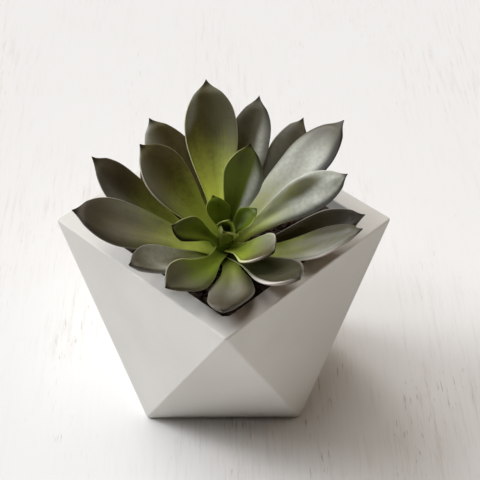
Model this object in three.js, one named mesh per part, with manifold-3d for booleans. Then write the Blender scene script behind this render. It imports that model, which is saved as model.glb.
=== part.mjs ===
// Rosette succulent in a faceted white pot. Millimetres, +Z up.
// The origin lies under the middle of the pot's foot. -Y is the front, where a corner of the rim points.
import * as THREE from 'three';
import { ConvexGeometry } from 'three/addons/geometries/ConvexGeometry.js';
import { mergeVertices } from 'three/addons/utils/BufferGeometryUtils.js';
import Module from 'manifold-3d';

const wasm = await Module();
wasm.setup();

// Driving dimensions: clearances
const GAP = 0.3;
const TIDY = 0.02;

// Driving dimensions: pot, a square rim over a square foot turned by an eighth of a turn
const RIM_SIDE = 110;
const FOOT_SIDE = 75;
const POT_HEIGHT = 97;
const WALL = 9;
const FLOOR = 9;
const INNER_FOOT_SIDE = 62.5;
const OUTER_CORNER = 1.5;
const INNER_CORNER = 3;
const CORNER_STEPS = 4;
const CAVITY_RISE = 4;

// Driving dimensions: soil
const SOIL_DROP = 6;
const SOIL_GAP = 0.35;
const SOIL_CELLS = 30;
const SOIL_WAVES = [
  { height: 0.5, along: 0.11, across: 0.07, start: 0.4 },
  { height: 0.35, along: -0.19, across: 0.23, start: 1.9 },
  { height: 0.25, along: 0.37, across: 0.29, start: 4.1 },
];
const SOIL_HOLLOW = 3.6;
const SOIL_HOLLOW_SPREAD = 18;
const AIR_SIDE = 176;
const AIR_DEPTH = 40;

// Driving dimensions: rosette seat and stem
const SEAT = new THREE.Vector3(0, -18, 88.5);
const LEAN = THREE.MathUtils.degToRad(20);
const STEM_FOOT = -16;
const STEM_PROFILE = [
  [3.6, STEM_FOOT],
  [4.4, -6],
  [4.6, 2],
  [4.0, 9],
  [3.0, 15],
  [1.8, 18],
];
const STEM_SIDES = 16;

// Driving dimensions: leaf order round the stem
const DIVERGENCE = -137.5;
const FIRST_LEAF_TURN = 28;
const TOP_ROOT = 16;
const ROOT_STEP = 0.55;
const LOWEST_ROOT = 1.7;
const OLD_LIFT = 10;
const YOUNG_LIFT = 42;
const LIFT_FADE = 9;

// Driving dimensions: leaf blade
const ROOT_REACH = 3;
const HEART_ROOT_REACH = 1.5;
const HEART_ROOT_SINK = 3;
const ROOT_WIDTH_SHARE = 0.34;
const ROOT_END = 0.12;
const WIDEST = 0.68;
const TIP_FULLNESS = 2.2;
const POINT_START = 0.7;
const POINT_PINCH = 0.5;
const THICKNESS_BASE = 1.6;
const THICKNESS_SHARE = 0.035;
const ROOT_THICKNESS_SHARE = 0.55;
const THICKENING_END = 0.25;
const TIP_THINNING = 0.45;
const TIP_ROUNDING = 0.1;
const MARGIN = 0.35;
const ROLL_SPEED = 1.5;
const STATIONS = 15;
const STATION_CROWDING = 1.25;
const SECTION_POINTS = 10;

// The leaves, youngest first. Age is the place in the spiral; turn, lift, sway and roll are how far, in
// degrees, the leaf departs from the rule, bends to its left and twists; curl is its whole upward bend.
const LEAVES = [
  { age: 0, turn: 11, lift: 0, length: 22.5, width: 8, sway: -10, roll: -5, curl: 15, cup: 0.2 },
  { age: 2, turn: -12, lift: 5, length: 21.5, width: 10, sway: 8, roll: 5, curl: 15, cup: 0.3 },
  { age: 3, turn: -17, lift: 0, length: 34, width: 19, sway: 2, roll: 2, curl: 11, cup: 0.25 },
  { age: 4, turn: -30, lift: 8, length: 29.5, width: 12.5, sway: 15, roll: -22, curl: 9, cup: 0.35 },
  { age: 5, turn: 8, lift: 13, length: 47, width: 17.5, sway: 1, roll: 10, curl: 8, cup: 0.45 },
  { age: 7, turn: -7, lift: 0, length: 57, width: 24.5, sway: -1, roll: 12, curl: 7, cup: 0.15 },
  { age: 8, turn: 17, lift: 2, length: 65, width: 17, sway: -9, roll: 5, curl: 20, cup: 0.1 },
  { age: 9, turn: 14, lift: 7, length: 50, width: 18, sway: -9, roll: -20, curl: 10, cup: 0.3 },
  { age: 10, turn: 4.5, lift: -5, length: 75.5, width: 24.5, sway: -1, roll: 0, curl: 5, cup: 0.25 },
  { age: 11, turn: 2, lift: 2, length: 52, width: 20.5, sway: -2, roll: -12, curl: 26, cup: 0.1 },
  { age: 12, turn: -2, lift: -1, length: 70, width: 25, sway: 1, roll: 8, curl: 10, cup: 0.05 },
  { age: 13, turn: 6.5, lift: -7, length: 78, width: 25, sway: -2, roll: -22, curl: 8, cup: 0.05 },
  { age: 14, turn: 22, lift: 9, length: 53, width: 20.5, sway: -15, roll: -9, curl: 21, cup: 0.1 },
  { age: 15, turn: -6, lift: -7, length: 68, width: 22, sway: 1, roll: 0, curl: 12, cup: 0.15 },
  { age: 16, turn: -3, lift: 0, length: 64, width: 16.5, sway: 9, roll: -5, curl: 24, cup: 0.1 },
  { age: 17, turn: -1, lift: 10, length: 55, width: 18, sway: 0, roll: 11, curl: 20, cup: 0.35 },
  { age: 18, turn: 5, lift: -5, length: 74, width: 20, sway: -1, roll: -5, curl: 9, cup: 0.15 },
  { age: 20, turn: 4, lift: 0, length: 71, width: 19.5, sway: -10, roll: -8, curl: 24, cup: 0.1 },
  { age: 21, turn: -19, lift: -1, length: 64, width: 18, sway: 5, roll: 2, curl: 17, cup: 0.2 },
  { age: 23, turn: 6, lift: 0, length: 57, width: 19, sway: 3, roll: 0, curl: 12, cup: 0.15 },
  { age: 26, turn: -5, lift: -4, length: 72, width: 21, sway: 12, roll: 7, curl: 13, cup: 0.2 },
  { age: 28, turn: -2, lift: 0, length: 56, width: 18, sway: -3, roll: 0, curl: 12, cup: 0.15 },
  { age: 31, turn: -8, lift: 0, length: 52, width: 17, sway: 2, roll: 0, curl: 14, cup: 0.15 },
];

// The smallest leaves, still folded together round the growing point, with their roots sunk in its top
const HEART_LEAVES = [
  { age: -1, turn: 0, lift: 28, length: 12, width: 5, sway: 0, roll: 0, curl: 8, cup: 0.4 },
  { age: -3, turn: -25, lift: 6, length: 17, width: 7, sway: 0, roll: 0, curl: 8, cup: 0.4 },
  { age: -4, turn: 18, lift: 10, length: 13, width: 8, sway: 0, roll: 0, curl: 14, cup: 0.4 },
];

const potMaterial = new THREE.MeshStandardMaterial({ color: '#d9d7d2', roughness: 0.75, metalness: 0 });
const soilMaterial = new THREE.MeshStandardMaterial({ color: '#2b1b12', roughness: 1, metalness: 0 });
const heartMaterial = new THREE.MeshStandardMaterial({ color: '#6d8a1f', roughness: 0.5, metalness: 0 });
const leafMaterial = new THREE.MeshStandardMaterial({ color: '#5f6340', roughness: 0.5, metalness: 0 });

function smoothStep(value) {
  return THREE.MathUtils.smoothstep(value, 0, 1);
}

// Turns a closed geometry into a solid that can be joined and cut
function solidFrom(geometry) {
  const bare = geometry.clone();
  bare.deleteAttribute('normal');
  bare.deleteAttribute('uv');
  const merged = mergeVertices(bare);
  return new wasm.Manifold(new wasm.Mesh({
    numProp: 3,
    vertProperties: new Float32Array(merged.getAttribute('position').array),
    triVerts: new Uint32Array(merged.getIndex().array),
  }));
}

function meshFrom(solid, name, material) {
  const { vertProperties, triVerts } = solid.getMesh();
  const geometry = new THREE.BufferGeometry();
  geometry.setAttribute('position', new THREE.BufferAttribute(vertProperties, 3));
  geometry.setIndex(new THREE.BufferAttribute(triVerts, 1));
  geometry.computeVertexNormals();
  const mesh = new THREE.Mesh(geometry, material);
  mesh.name = name;
  return mesh;
}

// The largest body of a solid that a cut may have left in several
function largestBody(solid) {
  return solid.decompose().sort((a, b) => b.volume() - a.volume())[0];
}

// Points round a square with rounded corners. Its first corner points at the angle given.
function roundedSquare(side, height, corner, firstCorner) {
  const centreReach = side / Math.SQRT2 - corner * Math.SQRT2;
  const points = [];
  for (let quarter = 0; quarter < 4; quarter += 1) {
    const facing = firstCorner + quarter * Math.PI / 2;
    for (let step = 0; step < CORNER_STEPS; step += 1) {
      const angle = facing + (step / (CORNER_STEPS - 1) - 0.5) * Math.PI / 2;
      points.push(new THREE.Vector3(
        centreReach * Math.cos(facing) + corner * Math.cos(angle),
        centreReach * Math.sin(facing) + corner * Math.sin(angle),
        height,
      ));
    }
  }
  return points;
}

// A turned-square body: a square at the top and a square turned by an eighth of a turn at the bottom
function facetedBody(topSide, topHeight, footSide, footHeight, corner) {
  return solidFrom(new ConvexGeometry([
    ...roundedSquare(topSide, topHeight, corner, 0),
    ...roundedSquare(footSide, footHeight, corner, Math.PI / 4),
  ]));
}

function makePot() {
  const body = facetedBody(RIM_SIDE, POT_HEIGHT, FOOT_SIDE, 0, OUTER_CORNER);
  const cavity = facetedBody(
    RIM_SIDE - 2 * WALL, POT_HEIGHT + CAVITY_RISE, INNER_FOOT_SIDE, FLOOR, INNER_CORNER,
  );
  return body.subtract(cavity);
}

// Height of the soil: level, with a shallow hollow round the stem and three crossing waves
function soilHeight(x, y) {
  const distance = Math.hypot(x - SEAT.x, y - SEAT.y);
  const hollow = SOIL_HOLLOW * Math.exp(-((distance / SOIL_HOLLOW_SPREAD) ** 2));
  const waves = SOIL_WAVES.reduce(
    (sum, wave) => sum + wave.height * Math.sin(wave.along * x + wave.across * y + wave.start), 0,
  );
  return POT_HEIGHT - SOIL_DROP - hollow + waves;
}

// The air over the soil: a block whose underside follows the soil's height
function airOverSoil() {
  const block = new THREE.BoxGeometry(AIR_SIDE, AIR_SIDE, AIR_DEPTH, SOIL_CELLS, SOIL_CELLS, 1);
  const place = block.getAttribute('position');
  for (let i = 0; i < place.count; i += 1) {
    const lower = place.getZ(i) < 0;
    place.setZ(i, lower ? soilHeight(place.getX(i), place.getY(i)) : POT_HEIGHT + AIR_DEPTH);
  }
  return solidFrom(block);
}

function makeSoil(stemInPot) {
  const filling = facetedBody(
    RIM_SIDE - 2 * (WALL + SOIL_GAP), POT_HEIGHT + CAVITY_RISE,
    INNER_FOOT_SIDE - 2 * SOIL_GAP, FLOOR + SOIL_GAP, INNER_CORNER,
  );
  return largestBody(filling.subtract(airOverSoil()).subtract(stemInPot));
}

// The stem, wider or longer all round by what grow says
function stemSolid(grow) {
  const last = STEM_PROFILE.length - 1;
  const outline = STEM_PROFILE.map(([radius, height], i) => new THREE.Vector2(
    radius + grow, height + (i === last ? grow : 0) - (i === 0 ? grow : 0),
  ));
  const profile = [
    new THREE.Vector2(0, outline[0].y), ...outline, new THREE.Vector2(0, outline[last].y),
  ];
  return solidFrom(new THREE.LatheGeometry(profile, STEM_SIDES).rotateX(Math.PI / 2));
}

// Works out where a leaf stands from its age: how far round, how high up the stem and how steep
function placed(leaf, reach = ROOT_REACH, sink = 0) {
  const { age } = leaf;
  return {
    ...leaf,
    facing: THREE.MathUtils.degToRad(FIRST_LEAF_TURN + DIVERGENCE * age + leaf.turn),
    reach,
    root: Math.max(TOP_ROOT - ROOT_STEP * age - sink, LOWEST_ROOT),
    rise: THREE.MathUtils.degToRad(OLD_LIFT + YOUNG_LIFT * Math.exp(-age / LIFT_FADE) + leaf.lift),
    bend: THREE.MathUtils.degToRad(leaf.curl),
    thickness: THICKNESS_BASE + THICKNESS_SHARE * leaf.length,
  };
}

// Half the blade's width at a share of its length: a narrow root that widens, then a pointed tip
function halfWidth(leaf, share) {
  if (share < WIDEST) {
    const widening = smoothStep((share - ROOT_END) / (WIDEST - ROOT_END));
    return 0.5 * leaf.width * (ROOT_WIDTH_SHARE + (1 - ROOT_WIDTH_SHARE) * widening);
  }
  const toTip = Math.min((share - WIDEST) / (1 - WIDEST), 1);
  const pinch = 1 - POINT_PINCH * smoothStep((toTip - POINT_START) / (1 - POINT_START));
  return 0.5 * leaf.width * (1 - toTip ** TIP_FULLNESS) * pinch;
}

// How far the keel stands below the margins: thinner at the root and the tip, and rounded off at its end
function keelDepth(leaf, share) {
  const rooted = ROOT_THICKNESS_SHARE + (1 - ROOT_THICKNESS_SHARE) * smoothStep(share / THICKENING_END);
  const tapered = 1 - TIP_THINNING * share;
  const rounded = Math.sqrt(Math.min((1 - share) / TIP_ROUNDING, 1));
  return leaf.thickness * rooted * tapered * rounded;
}

// The blade's frame at a share of its length: the midrib is an arc that rises from the stem, bends up by
// the curl and swings sideways; across and up turn about it by the roll
function bladeFrame(leaf, share) {
  const slope = leaf.rise + leaf.bend * share;
  const run = leaf.length / leaf.bend;
  const outward = new THREE.Vector3(Math.cos(leaf.facing), Math.sin(leaf.facing), 0);
  const sideways = new THREE.Vector3(-outward.y, outward.x, 0);
  const swing = leaf.length * Math.sin(THREE.MathUtils.degToRad(leaf.sway)) * share * share;
  const reach = leaf.reach + run * (Math.sin(slope) - Math.sin(leaf.rise));
  const centre = outward.clone().multiplyScalar(reach).addScaledVector(sideways, swing);
  centre.z = leaf.root + run * (Math.cos(leaf.rise) - Math.cos(slope));
  const upward = outward.clone().multiplyScalar(-Math.sin(slope));
  upward.z = Math.cos(slope);
  const roll = THREE.MathUtils.degToRad(leaf.roll) * smoothStep(ROLL_SPEED * share);
  return {
    centre,
    across: sideways.clone().multiplyScalar(Math.cos(roll)).addScaledVector(upward, Math.sin(roll)),
    up: upward.clone().multiplyScalar(Math.cos(roll)).addScaledVector(sideways, -Math.sin(roll)),
  };
}

// A closed blade: channelled above, keeled below, with a blunt margin, larger all round by grow
function leafSolid(leaf, grow) {
  const margin = MARGIN + grow;
  const past = grow / leaf.length;
  const widestCosine = Math.cos(Math.PI / SECTION_POINTS);
  const positions = [];
  for (let station = 0; station < STATIONS; station += 1) {
    const spaced = 1 - (1 - station / STATIONS) ** STATION_CROWDING;
    const along = -past + (1 + 2 * past) * spaced;
    const share = THREE.MathUtils.clamp(along, 0, 1);
    const { centre, across, up } = bladeFrame(leaf, along);
    const half = halfWidth(leaf, share) + grow;
    for (let point = 0; point < SECTION_POINTS; point += 1) {
      const angle = 2 * Math.PI * (point + 0.5) / SECTION_POINTS;
      const side = Math.cos(angle) / widestCosine;
      const depth = Math.sin(angle) > 0 ? margin : keelDepth(leaf, share) + grow;
      const height = leaf.cup * half * side * side + depth * Math.sin(angle);
      const spot = centre.clone().addScaledVector(across, half * side).addScaledVector(up, height);
      positions.push(spot.x, spot.y, spot.z);
    }
  }
  const root = bladeFrame(leaf, -past).centre;
  const tip = bladeFrame(leaf, 1 + past).centre;
  positions.push(root.x, root.y, root.z, tip.x, tip.y, tip.z);
  const rootIndex = STATIONS * SECTION_POINTS;
  const tipIndex = rootIndex + 1;
  const triangles = [];
  for (let point = 0; point < SECTION_POINTS; point += 1) {
    const next = (point + 1) % SECTION_POINTS;
    for (let station = 0; station < STATIONS - 1; station += 1) {
      const here = station * SECTION_POINTS;
      const there = here + SECTION_POINTS;
      triangles.push(here + point, there + next, there + point);
      triangles.push(here + point, here + next, there + next);
    }
    const last = (STATIONS - 1) * SECTION_POINTS;
    triangles.push(rootIndex, next, point);
    triangles.push(tipIndex, last + point, last + next);
  }
  const geometry = new THREE.BufferGeometry();
  geometry.setAttribute('position', new THREE.Float32BufferAttribute(positions, 3));
  geometry.setIndex(triangles);
  return solidFrom(geometry);
}

// The stem with the folded heart leaves grown onto it
function makeHeart(grow) {
  return HEART_LEAVES.map((leaf) => placed(leaf, HEART_ROOT_REACH, HEART_ROOT_SINK)).reduce(
    (joined, leaf) => joined.add(leafSolid(leaf, grow)), stemSolid(grow),
  );
}

// Each leaf gives way to the heart and to every younger leaf, and keeps a gap to them
function makeLeaves() {
  let taken = makeHeart(GAP);
  return LEAVES.map((leaf) => placed(leaf)).map((leaf) => {
    const blade = largestBody(leafSolid(leaf, 0).subtract(taken)).simplify(TIDY);
    taken = taken.add(leafSolid(leaf, GAP));
    return blade;
  });
}

const rosette = new THREE.Group();
rosette.position.copy(SEAT);
rosette.rotation.x = LEAN;
rosette.updateMatrix();
rosette.add(meshFrom(makeHeart(0).simplify(TIDY), 'stem_heart', heartMaterial));
makeLeaves().forEach((blade, i) => {
  rosette.add(meshFrom(blade, `leaf_${String(i + 1).padStart(2, '0')}`, leafMaterial));
});

const stemInPot = stemSolid(GAP).transform(rosette.matrix.elements);

const plant = new THREE.Group();
plant.add(meshFrom(makePot(), 'pot', potMaterial));
plant.add(meshFrom(makeSoil(stemInPot).simplify(TIDY), 'soil', soilMaterial));
plant.add(rosette);

export default plant;
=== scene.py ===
"""Potted echeveria: the looks of its rosette, soil and faceted pot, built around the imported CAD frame.

Metres, +Z up. The origin lies under the middle of the pot's foot and -Y is the front.
"""

from collections import namedtuple
from itertools import product

import bpy
import numpy as np
from bpy.props import FloatProperty, FloatVectorProperty, IntProperty, PointerProperty
from mathutils import Matrix, Vector


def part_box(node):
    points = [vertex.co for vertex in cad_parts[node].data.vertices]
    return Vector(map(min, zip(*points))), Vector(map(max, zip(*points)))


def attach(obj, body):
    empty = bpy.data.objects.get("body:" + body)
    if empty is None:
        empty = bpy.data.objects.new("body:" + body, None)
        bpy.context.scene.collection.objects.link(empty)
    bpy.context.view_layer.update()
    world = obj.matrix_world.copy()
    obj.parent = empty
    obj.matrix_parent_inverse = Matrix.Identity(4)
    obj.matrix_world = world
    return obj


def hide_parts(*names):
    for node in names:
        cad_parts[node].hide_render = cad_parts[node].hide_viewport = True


bl_info = {
    "name": "Potted Echeveria",
    "version": (1, 0, 0),
    "blender": (4, 5, 0),
    "location": "3D View > Sidebar > Echeveria",
    "description": "Builds a rosette succulent in a faceted pot around its packed solids",
    "category": "Add Mesh",
}

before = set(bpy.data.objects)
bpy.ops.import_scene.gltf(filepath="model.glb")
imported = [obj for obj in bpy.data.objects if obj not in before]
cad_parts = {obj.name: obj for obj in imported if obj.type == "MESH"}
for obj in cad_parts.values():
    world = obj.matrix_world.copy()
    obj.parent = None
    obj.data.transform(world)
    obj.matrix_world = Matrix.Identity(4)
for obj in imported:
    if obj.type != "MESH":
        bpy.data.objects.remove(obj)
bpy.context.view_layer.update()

# Pot: a square rim over a square foot turned by an eighth of a turn
RIM_SIDE = 0.110
FOOT_SIDE = 0.075
POT_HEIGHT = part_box("pot")[1].z
WALL = 0.009
BASE_THICKNESS = 0.009
INNER_FOOT_SIDE = 0.0625
CAVITY_RISE = 0.004
EDGE_ROUNDING = 0.00086
EDGE_SEGMENTS = 4
EDGE_ANGLE = np.radians(5)

# Soil: its surface, then the rings of the filling, where a place is a share of the way out or down
SOIL_DROP = 0.006
SOIL_GAP = 0.00035
SOIL_HOLLOW = 0.0036
SOIL_HOLLOW_SPREAD = 0.018
SOIL_AROUND = 240
TOP_RINGS = 84
FIRST_TOP_RING = 0.01
WALL_RINGS = 12
FIRST_WALL_RING = 0.08
BASE_RINGS = (0.66, 0.33)

# Lumps of the soil: width, share of the height, seed and layers of noise
SOIL_LUMPS = ((0.011, 0.6, 5, 2), (0.0028, 0.5, 9, 3))

# Crumbs: a ball of rings, then how its size, stretch and dents vary, all as shares of a middling crumb
CRUMB_RISES = np.radians([-45, 0, 45])
CRUMB_SIDES = 6
CRUMB_SEED = 31
CRUMB_VARIETY = 0.45
CRUMB_SIZES = (0.35, 2.4)
CRUMB_STRETCH = (0.7, 1.3)
CRUMB_FLATNESS = np.array([1, 1, 0.75])
CRUMB_DENTS = (0.72, 1.2)
CRUMB_WALL_GAP = 1.9
CRUMB_LIFT = 0.25

# Rosette: its seat, the stem's radii and heights in millimetres, and the order of the leaves in degrees
SEAT = np.array([0.0, -0.018, 0.0885])
LEAN = np.radians(20)
STEM_PROFILE = ((3.6, -16), (4.4, -6), (4.6, 2), (4.0, 9), (3.0, 15), (1.8, 18))
STEM_SLIMMING = 0.02
STEM_GREEN = (SEAT[2] + 0.004, SEAT[2] + 0.011)
DIVERGENCE = -137.5
FIRST_LEAF_TURN = 28
TOP_ROOT = 0.016
ROOT_STEP = 0.00055
LOWEST_ROOT = 0.0017
OLD_LIFT = 10
YOUNG_LIFT = 42
LIFT_FADE = 9

# Relief of the stem: winding rings of leaf scars and a rough bark, both gone towards the heart
SCAR_PITCH = 0.0022
SCAR_STARTS = 2
SCAR_VALLEY = -0.2
SCAR_RELIEF = 0.00016
BARK_AROUND = 2
BARK_CELL = 0.0016
BARK_SEED = 77
BARK_RELIEF = 0.00018
RELIEF_TOP = 0.010
RELIEF_FADE = 0.006

# Leaf blade
ROOT_REACH = 0.003
HEART_ROOT = dict(reach=0.0015, sink=0.003)
ROOT_WIDTH_SHARE = 0.34
ROOT_END = 0.12
WIDEST = 0.68
TIP_FULLNESS = 2.2
POINT_START = 0.7
POINT_PINCH = 0.5
THICKNESS_BASE = 0.0016
THICKNESS_SHARE = 0.035
ROOT_THICKNESS_SHARE = 0.55
THICKENING_END = 0.25
TIP_THINNING = 0.45
TIP_ROUNDING = 0.1
MARGIN = 0.00035
ROLL_SPEED = 1.5
SHOULDER = 0.0014
SHOULDER_START = 0.12
SHOULDER_END = 0.5
SHOULDER_ROUNDING = 0.6
USUAL_WIDTH = 0.025
FULL_SHARE = 0.3
CHANNEL = 0.0004
CHANNEL_SPREAD = 0.42
CHANNEL_END = 0.95
CHANNEL_FADE = 0.45

# Relief of a blade: cells of noise across and along it for edge, waves and dents, and their heights
BLADE_SEED = 40
SEED_STEP = 100
BLADE_CELLS = ((0.9, 7.0, 0), (1.6, 4.5, 0), (3.5, 11.0, 0))
EDGE_WAVE = 0.035
EDGE_CALM = 0.3
WAVE_HEIGHT = 0.00035
DENT_HEIGHT = 0.00012
TIP_CALM = 0.12

# A leaf's form: age, its place in the spiral; turn and lift, how far it departs from the rule in degrees;
# length and width in metres; sway, roll and curl, its swing sideways, twist and upward bend in degrees;
# and cup, how far its margins rise, as a share of half its width
Form = namedtuple("Form", "age turn lift length width sway roll curl cup")

# A leaf's finish, in shares: flush, how far the young green reaches; fresh, how yellow that is; brown, a
# brown tint; deep, a darker tone all over; bloom, the waxy coat, whose pale colour also paints
# sheen; lean, how far that keeps to one side, a painted highlight on the side towards the light;
# rub, a patch where the wax is worn off, and below 0 a painted highlight in the wax's colour;
# spot and mid, the patch's place across and along the blade; reach, half its length; dusk, a purple grey
# towards the point; rim and band, the pale margin, partly a painted highlight, and its width; shade, a
# dark margin, partly painted shade; gloss; and glow, light that comes through. The sign of lean, rim and
# shade
# says which side of the leaf is meant: + is counter-clockwise from above.
Finish = namedtuple(
    "Finish",
    "flush fresh brown deep bloom lean rub spot mid reach dusk rim band shade gloss glow",
    defaults=(0, 0, 0, 0, 0, 0, 0, 0.45, 0.46, 0.22, 0, 0, 0.05, 0, 0.2, 0.1),
)

UNSEEN = Finish(flush=0.15, fresh=0.6, brown=0.6, deep=0.1, bloom=0.05, dusk=0.5, rim=0.1, gloss=0.3)
LEAVES = (
    (Form(0, 11, 0, 0.0225, 0.0095, -10, -5, 15, 0.4),
     Finish(flush=1.2, fresh=0.07, deep=0.08, bloom=0.05, rub=-0.1, spot=0, mid=0.6, reach=0.5, dusk=0.1,
            rim=-0.6, band=0.14, gloss=0.25)),
    (Form(2, -14, 5, 0.0215, 0.0108, 8, 5, 15, 0.3),
     Finish(flush=1.2, fresh=0.1, rim=0.5, band=0.08, gloss=0.1, glow=0.2)),
    (Form(3, -17, 0, 0.034, 0.019, 2, 2, 11, 0.25),
     Finish(flush=0.68, fresh=0.26, bloom=0.15, lean=1, dusk=0.3, rim=-0.9, band=0.17, gloss=0.03,
            glow=0.2)),
    (Form(4, -30, 8, 0.0295, 0.0125, 15, -22, 9, 0.35),
     Finish(flush=1.1, fresh=0.15, deep=0.1, dusk=0.5, rim=-0.5, band=0.08, shade=1, glow=0.2)),
    # This leaf's patch of extra wax is a painted highlight down its right half.
    (Form(5, 8, 13, 0.047, 0.0175, 1, 10, 8, 0.45),
     Finish(flush=1, fresh=0.15, deep=0.2, bloom=0.006, lean=-3, rub=-1, spot=-0.7, mid=0.44, reach=0.44,
            dusk=0.2, rim=0.7, band=0.08, shade=-0.7, gloss=0.12, glow=0.2)),
    (Form(7, -7, 0, 0.057, 0.0245, -1, 12, 7, 0.15),
     Finish(flush=0.52, fresh=0.45, brown=0.2, bloom=0.02, lean=3, dusk=0.3, rim=0.8, band=0.06,
            gloss=0.15, glow=0.3)),
    (Form(8, 17, 2, 0.065, 0.0182, -9, 5, 20, 0.1),
     Finish(flush=0.46, fresh=0.9, bloom=1, rub=0.85, spot=0.5, mid=0.65, reach=0.23, dusk=0.25,
            rim=-0.6, band=0.12, shade=-0.8, gloss=0.4)),
    (Form(9, 14, 7, 0.050, 0.018, -9, -20, 10, 0.3),
     Finish(flush=0.7, fresh=0.1, brown=0.2, deep=0.12, bloom=0.2, dusk=0.4, rim=-0.5, band=0.08,
            shade=0.5, gloss=0.03, glow=0.3)),
    # This leaf's patch of extra wax is a painted highlight near the tip along its left edge.
    (Form(10, 4.5, -5, 0.0755, 0.0245, -1, 0, 5, 0.25),
     Finish(flush=0.54, fresh=1, bloom=0.06, lean=-1.2, rub=-0.3, spot=0.95, mid=0.84, reach=0.13,
            dusk=0.3, rim=0.8, glow=0.5)),
    # This leaf's deep tone and its patch with the wax worn off are partly painted shade, darkest in its
    # middle.
    (Form(11, 2, 2, 0.052, 0.0205, -2, -12, 26, 0.1),
     Finish(flush=0.4, brown=0.2, deep=0.62, bloom=0.07, rub=0.6, dusk=0.5, rim=-1, band=0.2, gloss=0.25)),
    (Form(12, -2, -1, 0.070, 0.025, 1, 8, 10, 0.05),
     Finish(flush=0.4, fresh=1, brown=0.4, bloom=0.2, dusk=0.8, rim=-0.7, band=0.06, shade=0.5,
            gloss=0.25, glow=0.2)),
    (Form(13, 6.5, -7, 0.078, 0.025, -2, -22, 8, 0.05),
     Finish(flush=0.34, fresh=1, deep=0.05, bloom=0.74, rub=0.15, spot=-0.1, reach=0.3, dusk=0.65,
            rim=0.1, shade=-1, gloss=0.4)),
    (Form(14, 22, 9, 0.053, 0.0205, -15, -9, 21, 0.1),
     Finish(flush=0.42, fresh=0.4, brown=0.9, deep=0.1, bloom=0.17, lean=-0.3, rub=-0.1, spot=0.1,
            mid=0.72, reach=0.55, dusk=0.55, rim=0.3, band=0.1, shade=0.5, gloss=0.3, glow=0.2)),
    (Form(15, -6, -7, 0.068, 0.022, 1, 0, 12, 0.15),
     Finish(flush=0.25, fresh=0.8, brown=0.6, bloom=0.05, lean=3, dusk=0.15, rim=0.6, band=0.04,
            gloss=0.25)),
    (Form(16, -3, 0, 0.064, 0.0165, 9, -5, 24, 0.1),
     Finish(flush=0.48, fresh=0.7, brown=0.2, bloom=0.28, lean=-0.4, dusk=0.4, rim=-0.8, band=0.1,
            gloss=0.3)),
    (Form(17, -1, 10, 0.055, 0.018, 0, 11, 20, 0.35),
     Finish(flush=0.35, fresh=0.5, brown=0.6, bloom=0.6, rub=0.6, spot=0.1, mid=0.42, reach=0.26,
            dusk=0.5, rim=-0.3, band=0.06, shade=0.6, gloss=0.3)),
    # This leaf's patch of extra wax is a painted patch of light on its right side.
    (Form(18, 5, -5, 0.074, 0.020, -1, -5, 9, 0.15),
     Finish(flush=0.15, fresh=0.7, brown=0.4, deep=0.3, bloom=0.03, lean=-2.5, rub=-0.5, spot=-0.75,
            mid=0.7, reach=0.2, dusk=0.4, rim=-0.3, band=0.04, shade=-0.6, gloss=0.3)),
    (Form(20, 4, 0, 0.071, 0.0195, -10, -8, 24, 0.1),
     Finish(flush=0.5, fresh=0.9, brown=0.85, deep=0.1, bloom=0.04, lean=3, dusk=0.5, rim=0.3, band=0.04,
            glow=0.2)),
    (Form(21, -19, -1, 0.064, 0.018, 5, 2, 17, 0.2),
     Finish(brown=1, deep=0.7, lean=1, dusk=0.9, rim=0.4, band=0.08, gloss=0.15)),
    (Form(23, 6, 0, 0.057, 0.019, 3, 0, 12, 0.15),
     Finish(flush=0.2, fresh=0.7, brown=0.6, deep=0.1, bloom=0.05, dusk=0.5, rim=0.1, gloss=0.3)),
    (Form(26, -5, -4, 0.072, 0.021, 12, 7, 13, 0.2),
     Finish(flush=0.15, fresh=0.7, brown=0.5, deep=0.1, bloom=0.06, lean=2.5, dusk=0.4, rim=0.7,
            band=0.07, shade=-0.4, gloss=0.3)),
    (Form(28, -2, 0, 0.056, 0.018, -3, 0, 12, 0.15), UNSEEN),
    (Form(31, -8, 0, 0.052, 0.017, 2, 0, 14, 0.15), UNSEEN),
)
HEART_LEAVES = (
    (Form(-1, 0, 28, 0.010, 0.005, 0, 0, 8, 0.4),
     Finish(flush=1.3, fresh=0.2, deep=0.2, rim=0.6, band=0.2, glow=0.2)),
    (Form(-3, -25, 6, 0.015, 0.0100, 0, 0, 8, 0.7),
     Finish(flush=1.3, fresh=0.1, deep=0.15, rim=0.8, band=0.2, glow=0.2)),
    (Form(-4, 18, 10, 0.012, 0.0105, 0, 0, 14, 0.8),
     Finish(flush=1.3, fresh=0.2, deep=0.05, rim=0.9, band=0.25, glow=0.2)),
)

# Fineness of the surfaces: rings and corners of a section, and how far they crowd towards tip and margin
LEAF_RINGS = 84
LEAF_SECTION = 44
RING_CROWDING = 1.35
MARGIN_CROWDING = 0.2
STEM_RINGS = 90
STEM_SECTION = 56
MILLIMETRE = 0.001

# Camera: the photograph's view
FRAME_PIXELS = 480
FOCAL_PIXELS = 1300
SENSOR_MILLIMETRES = 36
CAMERA_PLACE = Vector((-0.0080, -0.4567, 0.4902))
CAMERA_TARGET = Vector((0.0076, 0.0, 0.0836))
CAMERA_ROLL = np.radians(1.18)

# Lights: name, bearing from +X and height in degrees, strength, width of the light in degrees, tint
LIGHTS = (
    ("low_window", 155, 23, 2.00, 20, (0.925, 0.95, 1.0)),
    ("middle_window", 178, 46, 0.75, 20, (0.925, 0.95, 1.0)),
    ("side_window", 126, 41, 1.05, 30, (0.97, 0.975, 1.0)),
    ("ceiling", 180, 80, 0.66, 35, (1.0, 0.975, 0.95)),
    ("back_window", 90, 65, 0.45, 35, (1.0, 0.94, 0.86)),
    ("right_wall", 8, 42, 0.27, 35, (1.0, 0.79, 0.60)),
)
SKY = 0.02
SKY_TINT = (1.0, 0.76, 0.54)

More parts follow.
